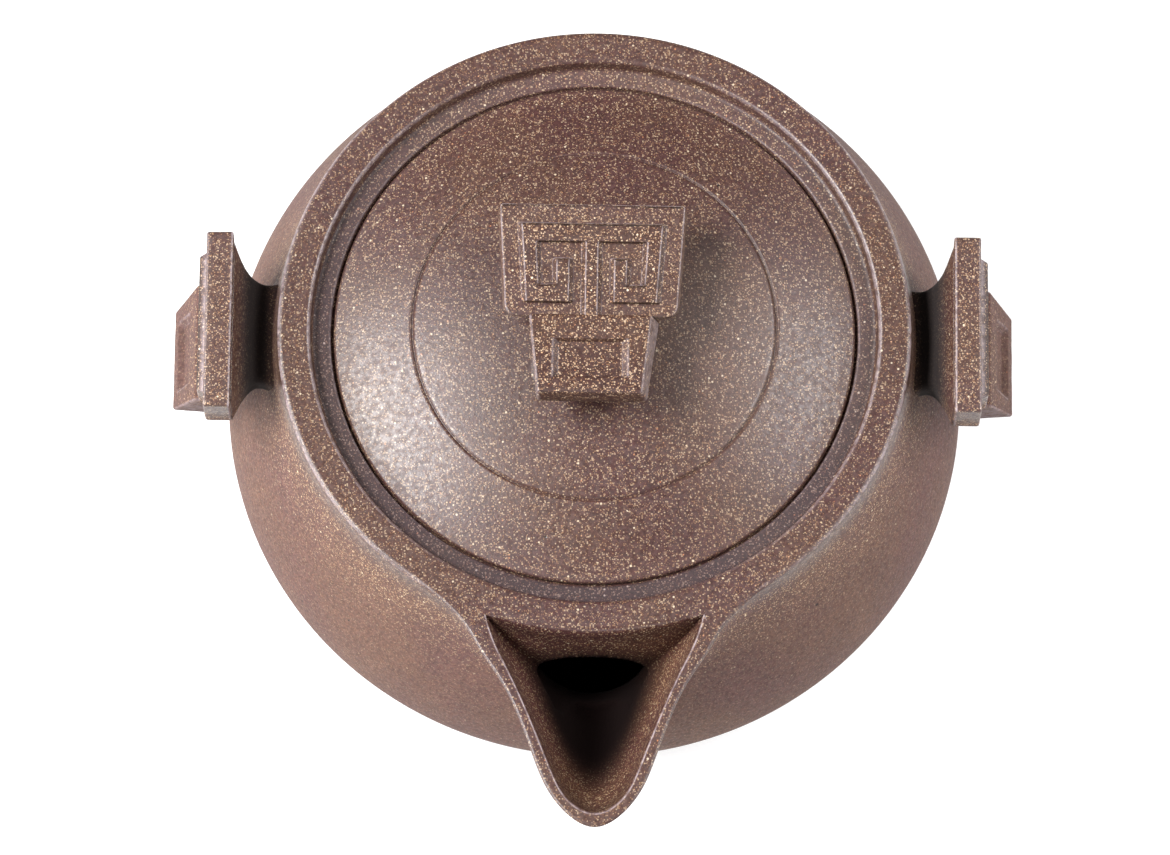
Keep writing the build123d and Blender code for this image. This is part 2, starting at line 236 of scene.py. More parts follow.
def column_angles():
    """Angles of the columns from the spout's middle, closest together at the beak."""
    near, far = np.arange(24, BEAK_ANGLE, 0.75), np.arange(BEAK_ANGLE, 180.1, 1.5)
    half = np.unique(np.r_[np.arange(0, 24, 0.3), near, far, CORNER])
    other = half[::-1][:-1]
    return np.r_[-other[other < 179.9], half[:-1], [180.0]]


CORNER = corner_angle()
THETA = column_angles()


def slope_factor(radius):
    """How much longer a radial step is than a step square to the outline."""
    d = np.gradient(radius, np.radians(THETA))
    return np.sqrt(1 + (d / radius) ** 2)


rim_outer = beak_radius(THETA, RIM_Z, OUTER_LEVELS, OUTER_LINE)
rim_outer = smooth_max(rim_outer, np.full(len(THETA), RIM_R), 0.5)
rim_outer = np.where(np.abs(THETA) > BEAK_ANGLE, RIM_R, rim_outer)
inner_edge = np.maximum(beak_radius(THETA, RIM_Z, INNER_LEVELS, INNER_LINE), RIM_R)
in_channel = np.abs(THETA) <= CORNER + 1e-6
outer_factor = slope_factor(rim_outer)
inner_factor = slope_factor(np.where(in_channel, inner_edge, rim_outer))

INSIDE = np.vstack(
    [
        [(r, FOOT_H + BASE_T) for r in (6, 12, 18, 24, 28)],
        bezier([(31, 5), (39.6, 5.6), (43, 8.9), (43, WIDEST_Z)], 12),
        bezier([(43, WIDEST_Z), (43, 26), (36.85, 30), (36.1, RIM_UNDER_Z)], 16)[1:],
    ]
)
MOUTH = np.array(
    [(r, RIM_UNDER_Z) for r in (35.9, 32.0, 29.0)]
    + arc(28.75, 38.5, 0.5, 270, 180, 4)
    + arc(28.65, SEAT_Z - 0.4, 0.4, 180, 90, 4)
    + [(28.9, SEAT_Z), (31.9, SEAT_Z), (SEAT_R, SEAT_Z + 0.1), (SEAT_R, RIM_Z - 2.3)]
    + [(SEAT_R + 0.05, RIM_Z - 2.14), (SEAT_R + 0.17, RIM_Z - 2.03)]
    + [(SEAT_R + 0.34, RIM_Z - 2.0)]
    + [(33.2, RIM_Z - 1.98), (33.8, RIM_Z - 1.93)]
    + arc(34.2, RIM_Z - 1.3, 0.6, 275, 355, 6)
    + [(34.84, RIM_Z - 0.9), (34.88, RIM_Z - 0.5)]
    + [(34.92, RIM_Z - 0.36), (35.02, RIM_Z - 0.19), (35.18, RIM_Z - 0.07)]
    + [(35.36, RIM_Z - 0.02), (35.55, RIM_Z - 0.005)]
)
OUTSIDE = np.vstack([FLANK[1:], TURN[1:]])
FOOT = np.array(
    [(33.3, 1.6), (33.05, 0.7)]
    + arc(32.5, 0.5, 0.5, 0, -90, 4)
    + [(31.2, 0.0)]
    + arc(29.9, 0.5, 0.5, -90, -180, 4)
    + [(29.45, 1.5), (29.2, 1.9)]
    + [(r, 2.0) for r in (28.6, 24, 18, 12, 6)]
)


def pot_rows():
    """Rows of (radius, height) over THETA, from the middle of the floor to the foot. row_a is the last
    row before the channel opens, and soft and lip are the roundings of its two edges."""
    ones = np.ones(len(THETA))
    away = smoothstep((np.abs(THETA) - CORNER) / (BEAK_ANGLE - CORNER))
    rows = [(r * ones, z * ones) for r, z in np.vstack([INSIDE, MOUTH])]
    crown = 0.05
    for r in (35.9, 36.8, 37.4):
        rows.append((r * ones, (RIM_Z - crown * ((r - 36.9) / 1.8) ** 2) * ones))
    soft = np.minimum(1.0, 0.4 * (inner_edge - RIM_R) + 0.02)
    edge_a = np.where(in_channel, RIM_R - soft, RIM_R - 1.2 * away)
    lip = np.minimum(0.2, 0.3 * (inner_edge - RIM_R)) * inner_factor
    lip = np.minimum(lip, 0.2 * (rim_outer - inner_edge))
    roll = np.minimum(0.32 * outer_factor, 0.3 * (rim_outer - inner_edge) + 0.16)
    roll = roll + away * (0.62 - roll)
    flat_end = rim_outer - roll
    edge_b = np.where(in_channel, inner_edge + lip, RIM_R + away * (flat_end - 0.25 - RIM_R))
    rows.append((edge_a, RIM_Z * ones))
    row_a = len(rows) - 1
    rows.append((edge_b, RIM_Z * ones))
    inset = np.minimum(0.13 * inner_factor, 0.3 * (flat_end - edge_b))
    rows.append((edge_b + inset, RIM_Z * ones))
    rows.append((edge_b + 0.7 * (flat_end - edge_b), RIM_Z * ones))
    for degrees in (0, 22, 45, 68, 90):
        t = math.radians(degrees)
        fall = (0.3 + 0.15 * away) * (1 - math.cos(t))
        rows.append((flat_end + roll * math.sin(t), RIM_Z - fall))
    top = RIM_Z - 0.45
    for r, z in OUTSIDE:
        z_here = min(z, top - 0.12) if z > FLANK[2, 1] else z
        if z > RIM_Z - 26:
            k = 0.5 + 3.2 * smoothstep((RIM_Z - z - 0.5) / 9)
            beak = beak_radius(THETA, max(z, RIM_Z - 23), OUTER_LEVELS, OUTER_LINE)
            beak = beak - 6.0 * smoothstep((RIM_Z - 21 - z) / 5)
            radius = smooth_max(beak, r * ones, k)
            radius = np.where(np.abs(THETA) > 60, r, radius)
        else:
            radius = r * ones
        rows.append((radius, z_here * ones))
    rows += [(r * ones, z * ones) for r, z in FOOT]
    return rows, row_a, edge_a, edge_b, soft, lip


CHANNEL_Z = np.linspace(RIM_Z, FLOOR_Z, 60)
CHANNEL_R = np.array([beak_radius(THETA, z, INNER_LEVELS, INNER_LINE) for z in CHANNEL_Z])


def channel_curve(i, a, b, soft, lip, count=44):
    """Section of the channel in column i, from the rim's edge at radius a, rounded by soft, down the
    wall, out and up to the lip's edge at radius b, rounded by lip."""
    z, side = CHANNEL_Z, CHANNEL_R[:, i]
    wall = wall_radius(z)
    open_to = np.argmax(side <= wall + 0.02) if (side <= wall + 0.02).any() else len(z)
    z, side, wall = z[:open_to], side[:open_to], wall[:open_to]
    down = np.c_[wall, z][z < RIM_Z - soft]
    up = np.c_[side, z][::-1]
    up = up[up[:, 1] < RIM_Z - lip - 0.02]
    turn = np.radians([0, 18, 36, 54, 72, 90])
    over = np.c_[a + soft * np.sin(turn), RIM_Z - soft * (1 - np.cos(turn))]
    edge = np.c_[b - lip * np.cos(turn), RIM_Z - lip * (1 - np.sin(turn))]
    line = np.vstack([over, down, up, edge])
    step = np.r_[0, np.cumsum(np.hypot(*np.diff(line, axis=0).T))]
    samples = 240
    fine = np.linspace(0, step[-1], samples)
    line = np.c_[np.interp(fine, step, line[:, 0]), np.interp(fine, step, line[:, 1])]
    size = step[-1] / samples
    reach = 1.2  # length that the corners are rounded over, and that is kept sharp at the ends
    from_end = np.minimum(fine[1:-1], step[-1] - fine[1:-1])
    weight = smoothstep((from_end - reach) / 2)[:, None]
    for _ in range(int(min(60, (reach / max(size, 1e-6)) ** 2))):
        inner = line[1:-1]
        line[1:-1] = inner + weight * 0.5 * ((line[:-2] + line[2:]) / 2 - inner)
    share = smoothstep(np.linspace(0, 1, count)) * 0.8 + np.linspace(0, 1, count) * 0.2
    at = share * (len(line) - 1)
    i = np.arange(len(line))
    return np.c_[np.interp(at, i, line[:, 0]), np.interp(at, i, line[:, 1])]


def place(radius, z, angle):
    a = math.radians(angle)
    return (radius * math.sin(a), -radius * math.cos(a), z)


def build_pot(material):
    bm = bmesh.new()
    edge_lighting, ledge_tint_shade = (bm.verts.layers.float.new(name) for name in ("edge_lighting", "ledge_tint_shade"))
    rows, row_a, edge_a, edge_b, soft, lip = pot_rows()
    n = len(THETA)
    grid = [[bm.verts.new(place(r[i], z[i], THETA[i])) for i in range(n)] for r, z in rows]
    for k in range(len(grid) - 1):
        for i in range(n):
            j = (i + 1) % n
            if k == row_a and in_channel[i] and in_channel[j] and j > i:
                continue
            bm.faces.new((grid[k][i], grid[k][j], grid[k + 1][j], grid[k + 1][i]))
    for row, z in ((grid[0], FOOT_H + BASE_T), (grid[-1], 2.0)):
        centre = bm.verts.new((0, 0, z))
        for i in range(n):
            bm.faces.new((row[i], row[(i + 1) % n], centre))
    columns = []
    for i in np.nonzero(in_channel)[0]:
        curve = channel_curve(i, edge_a[i], edge_b[i], soft[i], max(lip[i], 1e-3))
        inner = [bm.verts.new(place(r, z, THETA[i])) for r, z in curve[1:-1]]
        columns.append([grid[row_a][i]] + inner + [grid[row_a + 1][i]])
    for a, b in zip(columns, columns[1:]):
        for k in range(len(a) - 1):
            bm.faces.new((a[k], b[k], b[k + 1], a[k + 1]))
    mark_pot(bm, edge_lighting, ledge_tint_shade, [column[-12:] for column in columns])
    nodes = ("pot_wall", "base", "foot_ring", "mouth_ring", "spout")
    return new_object("pot", bm, material, "pot", nodes)


def mark_pot(bm, edge_lighting, ledge_tint_shade, lip_ends):
    """Marks the ledge's greyer tone with painted shade, and painted highlights on the left and right
    sides of the rim's and the ledge's edges and along the whole lip.
    """
    for v in bm.verts:
        r = math.hypot(v.co.x, v.co.y)
        drop = RIM_Z - v.co.z
        sideways = (v.co.x / max(r, 1e-6)) ** 2
        # the ledge: a greyer tone with painted shade, strongest at the front and the left, none at the
        # back
        if SEAT_R - 0.05 < r < 34.6 and 1.2 < drop < 2.4:
            v[ledge_tint_shade] = float(np.clip(0.8 - (0.8 * v.co.y + 0.25 * v.co.x) / r, 0, 1))
        # painted highlights on the left and right sides only: the step's top, the ledge's inner edge,
        # the rim's outer edge
        if 34.9 < r < 35.3 and drop < 0.4:
            v[edge_lighting] = 0.6 * sideways
        if SEAT_R < r < SEAT_R + 0.25 and 1.95 < drop < 2.2:
            v[edge_lighting] = 0.25 * sideways
        if RIM_R - 0.36 < r < RIM_R + 0.05 and 0.03 < drop < 0.3:
            v[edge_lighting] = 0.75 * sideways
    # painted highlight along the lip's edge
    for end in lip_ends:
        edge = end[-1]
        for v in end:
            v[edge_lighting] = 0.8 * float(1 - smoothstep(((v.co - edge.co).length - 0.14) / 0.14))


HOLE_X, HOLE_Z = -0.4, 30.6
HOLE_PINCH = 0.3  # how much the lower half narrows towards its bottom
HOLE_RISE = 4.9
HOLE_Y = (-37.0, -45.5)  # from inside the pot out into the channel
HOLE_POINTS, HOLE_LOOPS = 64, 14


def hole_drop(y):
    """Depth of the hole's lower half, which follows the floor of the channel."""
    return 5.1 + 1.2 * (y + 42.5)


def hole_half(y):
    """Half the hole's width, which narrows outwards so that it stays inside the beak's walls."""
    return 7.3 - 0.62 * max(0.0, -41.0 - y)


def cut_hole(pot):
    """Cuts the oval hole from the pot into the channel."""
    bm = bmesh.new()
    rings = []
    for y in np.linspace(*HOLE_Y, HOLE_LOOPS):
        loop = []
        for i in range(HOLE_POINTS):
            a = 2 * math.pi * i / HOLE_POINTS
            rise = HOLE_RISE if math.sin(a) > 0 else hole_drop(y)
            half_w = hole_half(y) * (1 - HOLE_PINCH * max(0.0, -math.sin(a)))
            loop.append((HOLE_X + half_w * math.cos(a), y, HOLE_Z + rise * math.sin(a)))
        rings.append(loop)
    skin(bm, rings)
    for v in bm.verts:
        v.co *= MM
    bmesh.ops.recalc_face_normals(bm, faces=bm.faces)
    mesh = bpy.data.meshes.new("hole_cutter")
    bm.to_mesh(mesh)
    bm.free()
    cutter = bpy.data.objects.new("hole_cutter", mesh)
    bpy.context.scene.collection.objects.link(cutter)
    modifier = pot.modifiers.new("hole", "BOOLEAN")
    modifier.operation = "DIFFERENCE"
    modifier.solver = "EXACT"
    modifier.object = cutter
    bpy.context.view_layer.objects.active = pot
    bpy.ops.object.modifier_apply(modifier=modifier.name)
    bpy.data.objects.remove(cutter)
    bpy.data.meshes.remove(mesh)
    pot.data.polygons.foreach_set("use_smooth", [True] * len(pot.data.polygons))


def on_hole(x, y, z):
    """Whether a point lies on the hole's wall, or inside the hole."""
    rise = HOLE_RISE if z > HOLE_Z else hole_drop(y)
    half_w = hole_half(y) * (1 - HOLE_PINCH * float(np.clip((HOLE_Z - z) / rise, 0, 1)))
    inside = math.hypot((x - HOLE_X) / half_w, (z - HOLE_Z) / rise) < 1.02
    return HOLE_Y[1] - 0.02 < y < HOLE_Y[0] + 0.02 and inside


def paint_channel_shade(pot, channel_clay):
    """Paints shade into the hole and the channel, fading out towards the channel's edges. The channel
    has its own, duller clay."""
    painted_shade = pot.data.attributes.new("painted_shade", "FLOAT", "POINT")
    weights, hidden = [], []
    for v in pot.data.vertices:
        x, y, z = v.co / MM
        r = math.hypot(x, y)
        inside = y < -30 and 35 < r and FLOOR_Z - 3 < z < RIM_Z - 0.3
        if inside:
            level = np.argmin(np.abs(CHANNEL_Z - z))
            angle = math.degrees(math.atan2(x, -y))
            edge = np.interp(angle, THETA[:-1], CHANNEL_R[level][:-1])
            inside = on_hole(x, y, z) or (edge > wall_radius(z) - 0.2 and r < edge + 0.5)
        # painted shade: deepest at the hole, fading along the channel and up its walls
        ahead = max(0.0, -43.5 - y)
        across = (x - HOLE_X) / (10.6 - 0.42 * ahead)
        d = math.hypot(across, ahead / 16.5, max(0.0, z - 31.0) / 6.0)
        weights.append(float(1 - smoothstep((d - 0.45) / 0.9)) if inside else 0.0)
        hidden.append(inside)
    painted_shade.data.foreach_set("value", weights)
    pot.data.materials.append(channel_clay)
    for face in pot.data.polygons:
        if all(hidden[i] for i in face.vertices):
            face.material_index = 1


# --- lid -------------------------------------------------------------------------------------------


def dome(r):
    return APEX_Z - DOME_R + math.sqrt(DOME_R**2 - r * r)


def build_lid(material):
    bm = bmesh.new()
    top = [(0, APEX_Z)] + [(r, dome(r)) for r in np.arange(1.5, 21.9, 1.0)]
    groove = [(-0.55, 0.0), (-0.34, -0.012), (-0.22, -0.05), (-0.1, -0.26), (0.0, -0.32)]
    groove += [(0.1, -0.26), (0.2, -0.04), (0.34, 0.012), (0.5, 0.012), (0.8, 0.0)]
    top += [(RING_R + d, dome(RING_R + d) + h) for d, h in groove]
    top += [(r, dome(r)) for r in np.arange(RING_R + 1.4, 31.4, 0.9)]
    edge = dome(31.55)
    top += [(31.5, edge + 0.01), (31.72, edge - 0.03), (31.9, edge - 0.12), (32.0, edge - 0.26)]
    top += [(LID_R, edge - 0.42), (LID_R, SEAT_Z + 0.12), (LID_R - 0.12, SEAT_Z)]
    hollow_r = FLANGE_R - FLANGE_T
    rise = APEX_Z - LID_T - SEAT_Z
    radius = (hollow_r**2 + rise**2) / (2 * rise)
    under = [(28.5, SEAT_Z), (hollow_r, SEAT_Z)]
    for r in range(24, 0, -3):
        under.append((r, APEX_Z - LID_T - radius + math.sqrt(radius**2 - r * r)))
    revolve(bm, top + under + [(0, APEX_Z - LID_T)], 288)
    return new_object("lid_cap", bm, material, "lid", ("lid_cap",))


def build_flange(material):
    bm = bmesh.new()
    inner, outer, low, high = FLANGE_R - FLANGE_T, FLANGE_R, FLANGE_Z, SEAT_Z - 0.01
    profile = [(inner, high), (inner, low + 0.5)]
    profile += arc(inner + 0.45, low + 0.45, 0.45, 180, 270, 5) + [(outer - 0.7, low)]
    profile += arc(outer - 0.6, low + 0.6, 0.6, 270, 360, 6) + [(outer, high), (inner, high)]
    revolve(bm, profile, 192)
    return new_object("lid_flange", bm, material, "lid_carrier", ("lid_flange",))


# --- mask motif: plate, fret, snout and neck -------------------------------------------------------

CORNER_POINTS = 7  # points on each rounded corner of a snout's panel or of a neck

class Mask:
    """The frame of one mask: across it, down from its top edge, and out of its face."""

    def __init__(self, name, body, origin, across, down, out):
        self.name, self.body = name, body
        vectors = (np.array(v, float) for v in (origin, across, down, out))
        self.origin, self.across, self.down, self.out = vectors

    def point(self, x, drop, out):
        """The place of a point, with the slight waviness of hand-worked clay."""
        p = self.origin + x * self.across + drop * self.down + out * self.out
        wave = np.array(noise_at(p * 0.55)) * 0.035 + np.array(noise_at(p * 1.7 + 9)) * 0.018
        return tuple(p + wave)


def noise_at(p):
    return mathutils.noise.noise_vector(Vector(p))


def outline(points, radii, offset=0.0, steep=1.0, spacing=0.45, steps=6):
    """Closed outline of a polygon moved outwards by offset, and by steep times that at its top and
    bottom edges, with rounded corners. Two outlines of one polygon always have equally many points."""
    pts = [np.array(p, float) for p in points]
    n = len(pts)
    dirs = [(pts[(i + 1) % n] - pts[i]) / np.linalg.norm(pts[(i + 1) % n] - pts[i]) for i in range(n)]
    corners, cuts = [], []
    for i in range(n):
        d1, d2 = dirs[i - 1], dirs[i]
        n1, n2 = np.array((d1[1], -d1[0])), np.array((d2[1], -d2[0]))
        corner = offset * (n1 + n2) / (1 + n1 @ n2)
        corners.append(pts[i] + corner * (1, steep))
        turn = math.atan2(d1[0] * d2[1] - d1[1] * d2[0], d1 @ d2)
        r = max(0.03, radii[i] + (offset if turn > 0 else -offset))
        cuts.append(r * math.tan(abs(turn) / 2))
    loop = []
    for i in range(n):
        d1, d2 = dirs[i - 1], dirs[i]
        start, end = corners[i] - d1 * cuts[i], corners[i] + d2 * cuts[i]
        for t in np.linspace(0, 1, steps + 1):
            loop.append((1 - t) ** 2 * start + 2 * t * (1 - t) * corners[i] + t * t * end)
        j = (i + 1) % n
        stop = corners[j] - dirs[i] * cuts[j]
        count = max(1, int(np.linalg.norm(pts[j] - pts[i]) / spacing))
        for t in np.linspace(0, 1, count + 2)[1:-1]:
            loop.append(end + (stop - end) * t)
    return loop


def plate_points(height):
    """The trapezoid, with x across and y down, in order round the outline."""
    top, bottom = PLATE_TOP_HALF, PLATE_BOTTOM_HALF
    return [(-top, 0), (top, 0), (bottom, height), (-bottom, height)]


def fret_points(height):
    """The meander's outline: the right half from the top bar down, then the left half."""
    k = height / PLATE_H
    right = [
        (8.8, 2.57 * k),
        (8.1, 12.67 * k),
        (2.55, 12.67 * k),
        (2.55, 7.07 * k),
        (4.45, 7.07 * k),
        (4.45, 10.47 * k),
        (6.3, 10.47 * k),
        (6.6, 4.87 * k),
        (0.95, 4.87 * k),
    ]
    foot = [(0.95, height + 0.2), (-0.95, height + 0.2)]
    return right + foot + [(-x, y) for x, y in right[::-1]]


def loops(mask, points, radii, levels, steep=1.0, tuck=0.0, lean=0.0, slide=0.0):
    """3D loops of an outline, and the painted edge lighting of their points. A level is its offset, how
    far out it lies, which may depend on the drop, and its painted highlight (above zero) or painted
    shade (below zero) at the sides, at the top edge and at the bottom edge.
    Below the face tuck draws the lower edge in and lean moves the outline sideways, and above it slide
    moves it down, all per unit of height."""
    near, far = (np.array(outline(points, radii, d)) for d in (0.0, 0.1))
    facing = np.clip((far - near) / 0.1, -1, 1)
    across, down = facing.T
    shares = np.array([np.abs(across), np.clip(-down, 0, 1), np.clip(down, 0, 1)])
    top, bottom = min(y for _, y in points), max(y for _, y in points)
    stack, edge_lighting = [], []
    for offset, out, *light_weights in levels:
        loop = []
        for x, y in outline(points, radii, offset, steep):
            height = out(y) if callable(out) else out
            depth = max(0.0, -height)
            y -= tuck * depth * (y - top) / (bottom - top) - slide * max(0.0, height)
            loop.append(mask.point(x + lean * depth, y, height))
        stack.append(loop)
        edge_lighting.append(np.array(light_weights or (0, 0, 0)) @ shares)
    return stack, edge_lighting


def build_plate(mask, height, thick, corner, face_light, back_light, flare, tuck, material):
    """Plate with painted highlights and painted shade along the edge of its face, painted highlights
    along the edge of its back, and sides that flare to the back.
    """
    bm = bmesh.new()
    radii = (0.5, 0.5, corner, corner)
    face, back = face_light, back_light
    # painted edge lighting: highlights round the back's edge; round the face's edge, highlights on the
    # rounding and painted shade just inside it at the top and bottom
    levels = [(flare - 0.4, -thick), (flare - 0.15, 0.04 - thick)]
    levels += [(flare - 0.06, 0.12 - thick, back, back, back), (flare, 0.24 - thick, back, back, back)]
    levels += [(flare, 0.4 - thick), (flare * 0.4, -1.0), (0.0, -0.3)]
    levels += [(-0.03, -0.15, face, 1.8 * face, 0), (-0.1, -0.05, face, 1.2 * face, -face)]
    levels += [(-0.22, 0.0, 0, -2 * face, -face), (-0.34, 0.0, 0, -1.6 * face, 0)]
    levels += [(-0.46, 0.0), (-0.8, 0.0)]
    skin(bm, *loops(mask, plate_points(height), radii, levels, tuck=tuck))
    name = mask.name + "_plate"
    return new_object(name, bm, material, mask.body, (name,))


def build_fret(mask, height, rise, material):
    bm = bmesh.new()
    points = fret_points(height)
    radii = [0.12] * len(points)
    # painted edge lighting: highlights along the sides and at the foot of the top edges, painted shade
    # along the top and bottom edges of the raised face
    levels = [(0.42, -0.06, 0.2, 0.3, -0.3), (0.36, 0.02, 0.55, 0.8, -0.6)]
    levels += [(0.26, 0.12, 0.1, 0.8, -0.6), (-0.1, rise - 0.2, 0, 0, -0.5)]
    levels += [(-0.17, rise - 0.08, 0.6, -0.7, -0.4)]
    levels += [(-0.24, rise - 0.02, 0.6, -1, 0), (-0.34, rise, 0, -1.1, 0), (-0.5, rise, 0, -0.9, 0)]
    levels += [(-0.7, rise + 0.01)]
    skin(bm, *loops(mask, points, radii, levels, 0.4, slide=0.35))
    name = mask.name + "_fret"
    return new_object(name, bm, material, mask.body, (name,))


def build_snout(mask, start, end, back, front, lean, material):
    """Snout from start to end below the top edge; back and front are (at start, at end)."""
    bm = bmesh.new()
    span = end - start

    def along(pair, shift=0.0):
        return lambda y: pair[0] + (pair[1] - pair[0]) * (y - start) / span + shift

    body = [(-7.5, start), (7.5, start), (6.4, end), (-6.4, end)]
    radii = (0.3, 0.3, 0.45, 0.45)
    # painted highlights on the snout's side walls
    levels = [(-0.3, along(back)), (0.1, along(back, 0.06), 0.2, 0, 0)]
    levels += [(0.3, along(back, 0.35), 0.5, 0, 0), (0.05, along(front, -0.3), 0.35, 0, 0)]
    levels += [(-0.03, along(front, -0.12), 0.4, 0, 0)]
    levels += [(-0.14, along(front, -0.03), 0.4, 0, 0), (-0.3, along(front)), (-0.5, along(front))]
    stack, edge_lighting = loops(mask, body, radii, levels, lean=lean)
    mid, half_l, half_w = start + span * 0.56, span * 0.24, 4.3
    low, high = mid - half_l, mid + half_l
    panel = [(-half_w, low), (half_w, low), (half_w, high), (-half_w, high)]
    counts = [max(1, int(math.dist(body[i], body[(i + 1) % 4]) / 0.45)) for i in range(4)]
    # how far outside the panel's edge, how far out of the face, and the painted highlight on the sides
    sunk = [(0.5, 0.0, 0), (0.3, -0.01, 0.4), (0.2, -0.07, 0.4), (0.08, -0.22, 0.15)]
    sunk += [(-0.28, -0.6, 0.15), (-0.36, -0.7, 0.3), (-0.46, -0.74, 0), (-0.7, -0.75, 0)]
    for offset, shift, light_weights in sunk:
        out = along(front, shift)
        edge = matched(panel, (offset, 0.4 * offset))
        stack.append([mask.point(x, y, out(y)) for x, y in rounded(edge, 0.2, counts)])
        edge_lighting.append([light_weights * on_side for on_side in side_share(panel, counts)])
    skin(bm, stack, edge_lighting)
    name = mask.name + "_snout"
    return new_object(name, bm, material, mask.body, (name,))


def side_share(points, counts):
    """1 for the points of rounded() on a rectangle's sides, and 0 on its top and bottom edges."""
    share = []
    for i, count in enumerate(counts):
        share += [0.5] * CORNER_POINTS + [float(points[i][0] == points[(i + 1) % 4][0])] * count
    return share


def matched(points, offset):
    """A rectangle's corners, moved out from its centre by an offset across and down."""
    pts = [np.array(p, float) for p in points]
    centre = sum(pts) / len(pts)
    return [p + np.sign(p - centre) * np.array(offset) for p in pts]


def rounded(points, radius, counts):
    """A rectangle's loop with rounded corners, and with a given number of points on each side."""
    pts = [np.array(p, float) for p in points]
    loop = []
    for i, a in enumerate(pts):
        b = pts[(i + 1) % 4]
        before = (a - pts[i - 1]) / np.linalg.norm(a - pts[i - 1])
        after = (b - a) / np.linalg.norm(b - a)
        start, end = a - before * radius, a + after * radius
        for t in np.linspace(0, 1, CORNER_POINTS):
            loop.append((1 - t) ** 2 * start + 2 * t * (1 - t) * a + t * t * end)
        stop = b - after * radius
        for t in np.linspace(0, 1, counts[i] + 2)[1:-1]:
            loop.append(end + (stop - end) * t)
    return loop


def build_neck(mask, levels, name, aside, material):
    """Neck behind the plate, moved aside, with painted shade that grows towards its root. A level is
    how far behind the face it lies, its width, and the drops of its lower and upper edge."""
    bm = bmesh.new()
    painted_shade = bm.verts.layers.float.new("painted_shade")
    stack, shade = [], []
    keys = [lv[0] for lv in levels]
    for behind in np.linspace(keys[0], keys[-1], 30):
        # painted shade: deepest between the plate and the body, a little paler right at the root
        paler = 1 - 0.3 * smoothstep((behind - 6.9) / 0.9)
        shade.append(0.96 * smoothstep((behind - 3.5) / 1.9) * paler)
        moved = aside * smoothstep((behind - keys[0]) / 3)
        w, low, high = (spline(keys, [lv[i] for lv in levels], behind) for i in (1, 2, 3))
        rect = [(-w / 2, high), (w / 2, high), (w / 2, low), (-w / 2, low)]
        r = min(1.8, 0.3 * w, 0.3 * (low - high))
        stack.append([mask.point(x + moved, y, -behind) for x, y in rounded(rect, r, (14,) * 4)])
    skin(bm, stack)
    bm.verts.ensure_lookup_table()
    for i, v in enumerate(bm.verts):
        v[painted_shade] = float(shade[i // len(stack[0])])
    return new_object(name, bm, material, mask.body, (name,))


# --- clay ------------------------------------------------------------------------------------------


SANDS = ((0.20, 0.125, 0.075), (0.19, 0.10, 0.048), (0.29, 0.21, 0.14))
GRITS = ((0.28, 0.10, 0.042), (0.34, 0.25, 0.15), (0.40, 0.33, 0.24))
IRON_RED = (0.13, 0.022, 0.015)
PIT_BLACK = (0.006, 0.004, 0.004)
# near-black painted shade for the hole, the channel and the necks' roots
PAINTED_SHADE_BLACK = (0.0045, 0.0018, 0.0016)
# painted highlight for edges, and painted shade for edges that face away from the lamps
PAINTED_EDGE_HIGHLIGHT = (0.27, 0.215, 0.225)
PAINTED_EDGE_SHADE = (0.012, 0.005, 0.003)
# painted light: the flank's brightening against the top of the pot
FLANK_PAINTED_LIGHT = (1.60, 1.61, 1.47)  # the flank against the top of the pot
# greyer tone and painted shade of the ledge
LEDGE_TINT_SHADE_GAIN = (0.48, 0.44, 0.57)  # the ledge round the lid against the rest


